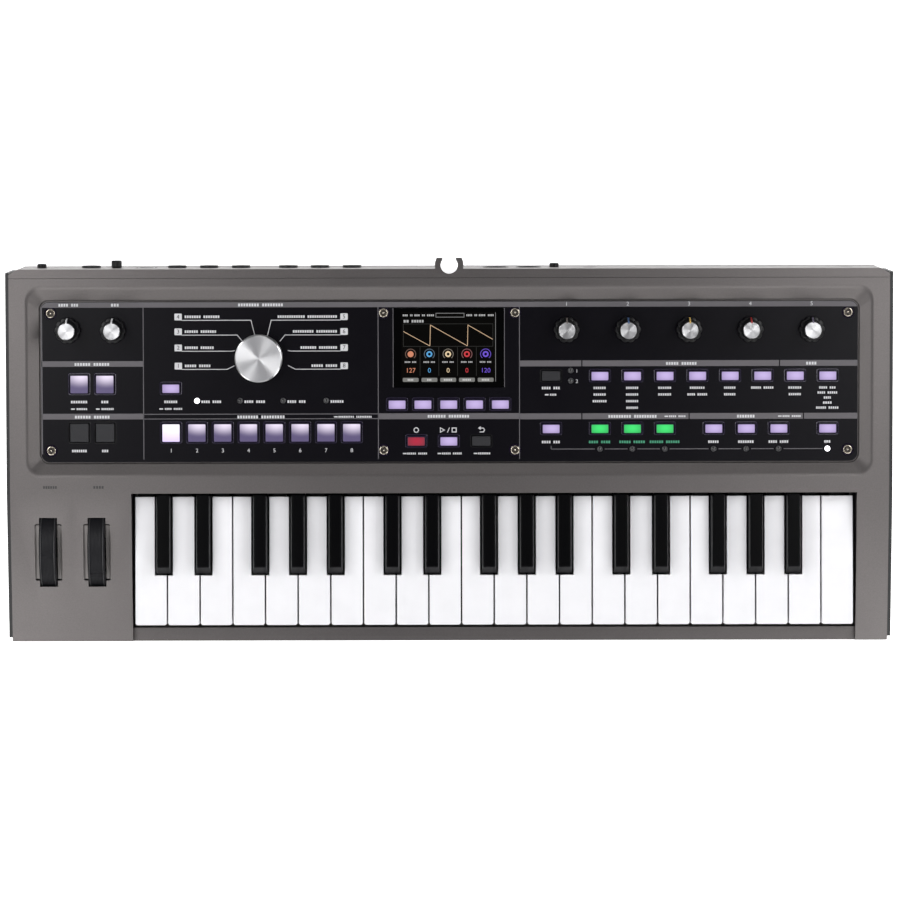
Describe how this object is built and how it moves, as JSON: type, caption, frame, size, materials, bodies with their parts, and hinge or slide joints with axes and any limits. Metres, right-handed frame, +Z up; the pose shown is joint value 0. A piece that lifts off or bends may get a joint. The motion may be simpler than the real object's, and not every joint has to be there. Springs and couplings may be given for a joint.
{
  "type": "synthesizer",
  "caption": "Compact keyboard synthesizer with miniature piano keys, a recessed control panel with knobs, dial, buttons and display, and pitch and modulation wheels.",
  "frame": {"origin": "on the table under the centre of the bounding box", "axes": "+X from the lowest key to the highest, +Y from the player to the rear sockets, +Z up"},
  "size_m": [0.527, 0.228, 0.0687],
  "materials": {
    "case_grey_top": "satin metallic grey paint",
    "case_grey_bottom": "satin metallic grey paint",
    "case_grey_rear": "satin metallic grey paint",
    "end_black": "fine matt texture",
    "feet_rubber": "matt",
    "panel_black": "fine satin",
    "screw_steel": "nickel plated",
    "display_glass": "gloss window over the display",
    "boards": "solder mask, with black sockets",
    "chassis": "moulded",
    "wheel_black": "soft-touch",
    "dial_aluminium": "spun",
    "knob_black": "moulded, with a spun metal cap",
    "rear_black": "moulded",
    "button_caps": "translucent, lit from below",
    "key_white": "gloss",
    "key_black": "satin gloss"
  },
  "bodies": {
    "case": {"top_case": "case_grey_top", "bottom_case": "case_grey_bottom", "rear_panel": "case_grey_rear", "end_panels": "end_black", "rubber_feet": "feet_rubber", "control_panel": "panel_black", "panel_screws": "screw_steel", "display_module": "display_glass", "circuit_boards": "boards", "keybed_chassis": "chassis"},
    "program_dial": {"program_dial": "dial_aluminium"},
    "pitch_wheel": {"pitch_wheel": "wheel_black"},
    "mod_wheel": {"mod_wheel": "wheel_black"},
    "volume_knob": {"volume_knob": "knob_black"},
    "mic_knob": {"mic_knob": "knob_black"},
    "edit_knob_1": {"edit_knob_1": "knob_black"},
    "edit_knob_2": {"edit_knob_2": "knob_black"},
    "edit_knob_3": {"edit_knob_3": "knob_black"},
    "edit_knob_4": {"edit_knob_4": "knob_black"},
    "edit_knob_5": {"edit_knob_5": "knob_black"},
    "rear_level_knob": {"rear_level_knob": "rear_black"},
    "rear_buttons": {"rear_buttons": "rear_black"},
    "panel_buttons": {"panel_buttons": "button_caps"},
    "white_key_c3": {"white_key_c3": "key_white"},
    "white_key_d3": {"white_key_d3": "key_white"},
    "white_key_e3": {"white_key_e3": "key_white"},
    "white_key_f3": {"white_key_f3": "key_white"},
    "white_key_g3": {"white_key_g3": "key_white"},
    "white_key_a3": {"white_key_a3": "key_white"},
    "white_key_b3": {"white_key_b3": "key_white"},
    "white_key_c4": {"white_key_c4": "key_white"},
    "white_key_d4": {"white_key_d4": "key_white"},
    "white_key_e4": {"white_key_e4": "key_white"},
    "white_key_f4": {"white_key_f4": "key_white"},
    "white_key_g4": {"white_key_g4": "key_white"},
    "white_key_a4": {"white_key_a4": "key_white"},
    "white_key_b4": {"white_key_b4": "key_white"},
    "white_key_c5": {"white_key_c5": "key_white"},
    "white_key_d5": {"white_key_d5": "key_white"},
    "white_key_e5": {"white_key_e5": "key_white"},
    "white_key_f5": {"white_key_f5": "key_white"},
    "white_key_g5": {"white_key_g5": "key_white"},
    "white_key_a5": {"white_key_a5": "key_white"},
    "white_key_b5": {"white_key_b5": "key_white"},
    "white_key_c6": {"white_key_c6": "key_white"},
    "black_key_c_sharp_3": {"black_key_c_sharp_3": "key_black"},
    "black_key_d_sharp_3": {"black_key_d_sharp_3": "key_black"},
    "black_key_f_sharp_3": {"black_key_f_sharp_3": "key_black"},
    "black_key_g_sharp_3": {"black_key_g_sharp_3": "key_black"},
    "black_key_a_sharp_3": {"black_key_a_sharp_3": "key_black"},
    "black_key_c_sharp_4": {"black_key_c_sharp_4": "key_black"},
    "black_key_d_sharp_4": {"black_key_d_sharp_4": "key_black"},
    "black_key_f_sharp_4": {"black_key_f_sharp_4": "key_black"},
    "black_key_g_sharp_4": {"black_key_g_sharp_4": "key_black"},
    "black_key_a_sharp_4": {"black_key_a_sharp_4": "key_black"},
    "black_key_c_sharp_5": {"black_key_c_sharp_5": "key_black"},
    "black_key_d_sharp_5": {"black_key_d_sharp_5": "key_black"},
    "black_key_f_sharp_5": {"black_key_f_sharp_5": "key_black"},
    "black_key_g_sharp_5": {"black_key_g_sharp_5": "key_black"},
    "black_key_a_sharp_5": {"black_key_a_sharp_5": "key_black"}
  },
  "joints": [
    {"name": "program_dial_turn", "type": "hinge", "parent": "case", "child": "program_dial", "pos_m": [-0.1131, 0.055, 0.05123], "axis": [0, -0.0698, 0.9976], "continuous": true},
    {"name": "pitch_wheel_bend", "type": "hinge", "parent": "case", "child": "pitch_wheel", "pos_m": [-0.2392, -0.05808, 0.02944], "axis": [-1, 0, 0], "range_deg": [-30, 30], "stiffness_Nm_per_rad": 0.05},
    {"name": "mod_wheel_turn", "type": "hinge", "parent": "case", "child": "mod_wheel", "pos_m": [-0.2103, -0.05808, 0.02944], "axis": [-1, 0, 0], "range_deg": [0, 60]},
    {"name": "volume_knob_turn", "type": "hinge", "parent": "case", "child": "volume_knob", "pos_m": [-0.2266, 0.07147, 0.05238], "axis": [0, -0.0698, 0.9976], "range_deg": [-150, 150]},
    {"name": "mic_knob_turn", "type": "hinge", "parent": "case", "child": "mic_knob", "pos_m": [-0.1998, 0.07147, 0.05238], "axis": [0, -0.0698, 0.9976], "range_deg": [-150, 150]},
    {"name": "edit_knob_1_turn", "type": "hinge", "parent": "case", "child": "edit_knob_1", "pos_m": [0.0697, 0.07147, 0.05238], "axis": [0, -0.0698, 0.9976], "range_deg": [-150, 150]},
    {"name": "edit_knob_2_turn", "type": "hinge", "parent": "case", "child": "edit_knob_2", "pos_m": [0.1061, 0.07147, 0.05238], "axis": [0, -0.0698, 0.9976], "range_deg": [-150, 150]},
    {"name": "edit_knob_3_turn", "type": "hinge", "parent": "case", "child": "edit_knob_3", "pos_m": [0.1425, 0.07147, 0.05238], "axis": [0, -0.0698, 0.9976], "range_deg": [-150, 150]},
    {"name": "edit_knob_4_turn", "type": "hinge", "parent": "case", "child": "edit_knob_4", "pos_m": [0.1789, 0.07147, 0.05238], "axis": [0, -0.0698, 0.9976], "range_deg": [-150, 150]},
    {"name": "edit_knob_5_turn", "type": "hinge", "parent": "case", "child": "edit_knob_5", "pos_m": [0.2153, 0.07147, 0.05238], "axis": [0, -0.0698, 0.9976], "range_deg": [-150, 150]},
    {"name": "rear_level_knob_turn", "type": "hinge", "parent": "case", "child": "rear_level_knob", "pos_m": [-0.1989, 0.10935, 0.032], "axis": [0, 0.9976, 0.0698], "range_deg": [-140, 140]},
    {"name": "rear_buttons_press", "type": "slide", "parent": "case", "child": "rear_buttons", "axis": [0, -0.9976, -0.0698], "range_m": [0, 0.001], "stiffness_N_per_m": 150, "springref_m": -0.004},
    {"name": "panel_buttons_press", "type": "slide", "parent": "case", "child": "panel_buttons", "axis": [0, 0.0698, -0.9976], "range_m": [0, 0.0008], "stiffness_N_per_m": 200, "springref_m": -0.004},
    {"name": "white_key_c3_press", "type": "hinge", "parent": "case", "child": "white_key_c3", "pos_m": [-0.18172, 0.008, 0.0305], "axis": [1, 0, 0], "range_deg": [0, 3.5], "stiffness_Nm_per_rad": 0.3, "springref_deg": -11.46},
    {"name": "white_key_d3_press", "type": "hinge", "parent": "case", "child": "white_key_d3", "pos_m": [-0.15875, 0.008, 0.0305], "axis": [1, 0, 0], "range_deg": [0, 3.5], "stiffness_Nm_per_rad": 0.3, "springref_deg": -11.46},
    {"name": "white_key_e3_press", "type": "hinge", "parent": "case", "child": "white_key_e3", "pos_m": [-0.13578, 0.008, 0.0305], "axis": [1, 0, 0], "range_deg": [0, 3.5], "stiffness_Nm_per_rad": 0.3, "springref_deg": -11.46},
    {"name": "white_key_f3_press", "type": "hinge", "parent": "case", "child": "white_key_f3", "pos_m": [-0.12367, 0.008, 0.0305], "axis": [1, 0, 0], "range_deg": [0, 3.5], "stiffness_Nm_per_rad": 0.3, "springref_deg": -11.46},
    {"name": "white_key_g3_press", "type": "hinge", "parent": "case", "child": "white_key_g3", "pos_m": [-0.10175, 0.008, 0.0305], "axis": [1, 0, 0], "range_deg": [0, 3.5], "stiffness_Nm_per_rad": 0.3, "springref_deg": -11.46},
    {"name": "white_key_a3_press", "type": "hinge", "parent": "case", "child": "white_key_a3", "pos_m": [-0.07925, 0.008, 0.0305], "axis": [1, 0, 0], "range_deg": [0, 3.5], "stiffness_Nm_per_rad": 0.3, "springref_deg": -11.46},
    {"name": "white_key_b3_press", "type": "hinge", "parent": "case", "child": "white_key_b3", "pos_m": [-0.05733, 0.008, 0.0305], "axis": [1, 0, 0], "range_deg": [0, 3.5], "stiffness_Nm_per_rad": 0.3, "springref_deg": -11.46},
    {"name": "white_key_c4_press", "type": "hinge", "parent": "case", "child": "white_key_c4", "pos_m": [-0.04523, 0.008, 0.0305], "axis": [1, 0, 0], "range_deg": [0, 3.5], "stiffness_Nm_per_rad": 0.3, "springref_deg": -11.46},
    {"name": "white_key_d4_press", "type": "hinge", "parent": "case", "child": "white_key_d4", "pos_m": [-0.02225, 0.008, 0.0305], "axis": [1, 0, 0], "range_deg": [0, 3.5], "stiffness_Nm_per_rad": 0.3, "springref_deg": -11.46},
    {"name": "white_key_e4_press", "type": "hinge", "parent": "case", "child": "white_key_e4", "pos_m": [0.00072, 0.008, 0.0305], "axis": [1, 0, 0], "range_deg": [0, 3.5], "stiffness_Nm_per_rad": 0.3, "springref_deg": -11.46},
    {"name": "white_key_f4_press", "type": "hinge", "parent": "case", "child": "white_key_f4", "pos_m": [0.01282, 0.008, 0.0305], "axis": [1, 0, 0], "range_deg": [0, 3.5], "stiffness_Nm_per_rad": 0.3, "springref_deg": -11.46},
    {"name": "white_key_g4_press", "type": "hinge", "parent": "case", "child": "white_key_g4", "pos_m": [0.03475, 0.008, 0.0305], "axis": [1, 0, 0], "range_deg": [0, 3.5], "stiffness_Nm_per_rad": 0.3, "springref_deg": -11.46},
    {"name": "white_key_a4_press", "type": "hinge", "parent": "case", "child": "white_key_a4", "pos_m": [0.05725, 0.008, 0.0305], "axis": [1, 0, 0], "range_deg": [0, 3.5], "stiffness_Nm_per_rad": 0.3, "springref_deg": -11.46},
    {"name": "white_key_b4_press", "type": "hinge", "parent": "case", "child": "white_key_b4", "pos_m": [0.07917, 0.008, 0.0305], "axis": [1, 0, 0], "range_deg": [0, 3.5], "stiffness_Nm_per_rad": 0.3, "springref_deg": -11.46},
    {"name": "white_key_c5_press", "type": "hinge", "parent": "case", "child": "white_key_c5", "pos_m": [0.09127, 0.008, 0.0305], "axis": [1, 0, 0], "range_deg": [0, 3.5], "stiffness_Nm_per_rad": 0.3, "springref_deg": -11.46},
    {"name": "white_key_d5_press", "type": "hinge", "parent": "case", "child": "white_key_d5", "pos_m": [0.11425, 0.008, 0.0305], "axis": [1, 0, 0], "range_deg": [0, 3.5], "stiffness_Nm_per_rad": 0.3, "springref_deg": -11.46},
    {"name": "white_key_e5_press", "type": "hinge", "parent": "case", "child": "white_key_e5", "pos_m": [0.13723, 0.008, 0.0305], "axis": [1, 0, 0], "range_deg": [0, 3.5], "stiffness_Nm_per_rad": 0.3, "springref_deg": -11.46},
    {"name": "white_key_f5_press", "type": "hinge", "parent": "case", "child": "white_key_f5", "pos_m": [0.14933, 0.008, 0.0305], "axis": [1, 0, 0], "range_deg": [0, 3.5], "stiffness_Nm_per_rad": 0.3, "springref_deg": -11.46},
    {"name": "white_key_g5_press", "type": "hinge", "parent": "case", "child": "white_key_g5", "pos_m": [0.17125, 0.008, 0.0305], "axis": [1, 0, 0], "range_deg": [0, 3.5], "stiffness_Nm_per_rad": 0.3, "springref_deg": -11.46},
    {"name": "white_key_a5_press", "type": "hinge", "parent": "case", "child": "white_key_a5", "pos_m": [0.19375, 0.008, 0.0305], "axis": [1, 0, 0], "range_deg": [0, 3.5], "stiffness_Nm_per_rad": 0.3, "springref_deg": -11.46},
    {"name": "white_key_b5_press", "type": "hinge", "parent": "case", "child": "white_key_b5", "pos_m": [0.21568, 0.008, 0.0305], "axis": [1, 0, 0], "range_deg": [0, 3.5], "stiffness_Nm_per_rad": 0.3, "springref_deg": -11.46},
    {"name": "white_key_c6_press", "type": "hinge", "parent": "case", "child": "white_key_c6", "pos_m": [0.23125, 0.008, 0.0305], "axis": [1, 0, 0], "range_deg": [0, 3.5], "stiffness_Nm_per_rad": 0.3, "springref_deg": -11.46},
    {"name": "black_key_c_sharp_3_press", "type": "hinge", "parent": "case", "child": "black_key_c_sharp_3", "pos_m": [-0.1706, 0.008, 0.0305], "axis": [1, 0, 0], "range_deg": [0, 3.5], "stiffness_Nm_per_rad": 0.3, "springref_deg": -11.46},
    {"name": "black_key_d_sharp_3_press", "type": "hinge", "parent": "case", "child": "black_key_d_sharp_3", "pos_m": [-0.1469, 0.008, 0.0305], "axis": [1, 0, 0], "range_deg": [0, 3.5], "stiffness_Nm_per_rad": 0.3, "springref_deg": -11.46},
    {"name": "black_key_f_sharp_3_press", "type": "hinge", "parent": "case", "child": "black_key_f_sharp_3", "pos_m": [-0.113, 0.008, 0.0305], "axis": [1, 0, 0], "range_deg": [0, 3.5], "stiffness_Nm_per_rad": 0.3, "springref_deg": -11.46},
    {"name": "black_key_g_sharp_3_press", "type": "hinge", "parent": "case", "child": "black_key_g_sharp_3", "pos_m": [-0.0905, 0.008, 0.0305], "axis": [1, 0, 0], "range_deg": [0, 3.5], "stiffness_Nm_per_rad": 0.3, "springref_deg": -11.46},
    {"name": "black_key_a_sharp_3_press", "type": "hinge", "parent": "case", "child": "black_key_a_sharp_3", "pos_m": [-0.068, 0.008, 0.0305], "axis": [1, 0, 0], "range_deg": [0, 3.5], "stiffness_Nm_per_rad": 0.3, "springref_deg": -11.46},
    {"name": "black_key_c_sharp_4_press", "type": "hinge", "parent": "case", "child": "black_key_c_sharp_4", "pos_m": [-0.0341, 0.008, 0.0305], "axis": [1, 0, 0], "range_deg": [0, 3.5], "stiffness_Nm_per_rad": 0.3, "springref_deg": -11.46},
    {"name": "black_key_d_sharp_4_press", "type": "hinge", "parent": "case", "child": "black_key_d_sharp_4", "pos_m": [-0.0104, 0.008, 0.0305], "axis": [1, 0, 0], "range_deg": [0, 3.5], "stiffness_Nm_per_rad": 0.3, "springref_deg": -11.46},
    {"name": "black_key_f_sharp_4_press", "type": "hinge", "parent": "case", "child": "black_key_f_sharp_4", "pos_m": [0.0235, 0.008, 0.0305], "axis": [1, 0, 0], "range_deg": [0, 3.5], "stiffness_Nm_per_rad": 0.3, "springref_deg": -11.46},
    {"name": "black_key_g_sharp_4_press", "type": "hinge", "parent": "case", "child": "black_key_g_sharp_4", "pos_m": [0.046, 0.008, 0.0305], "axis": [1, 0, 0], "range_deg": [0, 3.5], "stiffness_Nm_per_rad": 0.3, "springref_deg": -11.46},
    {"name": "black_key_a_sharp_4_press", "type": "hinge", "parent": "case", "child": "black_key_a_sharp_4", "pos_m": [0.0685, 0.008, 0.0305], "axis": [1, 0, 0], "range_deg": [0, 3.5], "stiffness_Nm_per_rad": 0.3, "springref_deg": -11.46},
    {"name": "black_key_c_sharp_5_press", "type": "hinge", "parent": "case", "child": "black_key_c_sharp_5", "pos_m": [0.1024, 0.008, 0.0305], "axis": [1, 0, 0], "range_deg": [0, 3.5], "stiffness_Nm_per_rad": 0.3, "springref_deg": -11.46},
    {"name": "black_key_d_sharp_5_press", "type": "hinge", "parent": "case", "child": "black_key_d_sharp_5", "pos_m": [0.1261, 0.008, 0.0305], "axis": [1, 0, 0], "range_deg": [0, 3.5], "stiffness_Nm_per_rad": 0.3, "springref_deg": -11.46},
    {"name": "black_key_f_sharp_5_press", "type": "hinge", "parent": "case", "child": "black_key_f_sharp_5", "pos_m": [0.16, 0.008, 0.0305], "axis": [1, 0, 0], "range_deg": [0, 3.5], "stiffness_Nm_per_rad": 0.3, "springref_deg": -11.46},
    {"name": "black_key_g_sharp_5_press", "type": "hinge", "parent": "case", "child": "black_key_g_sharp_5", "pos_m": [0.1825, 0.008, 0.0305], "axis": [1, 0, 0], "range_deg": [0, 3.5], "stiffness_Nm_per_rad": 0.3, "springref_deg": -11.46},
    {"name": "black_key_a_sharp_5_press", "type": "hinge", "parent": "case", "child": "black_key_a_sharp_5", "pos_m": [0.205, 0.008, 0.0305], "axis": [1, 0, 0], "range_deg": [0, 3.5], "stiffness_Nm_per_rad": 0.3, "springref_deg": -11.46}
  ]
}
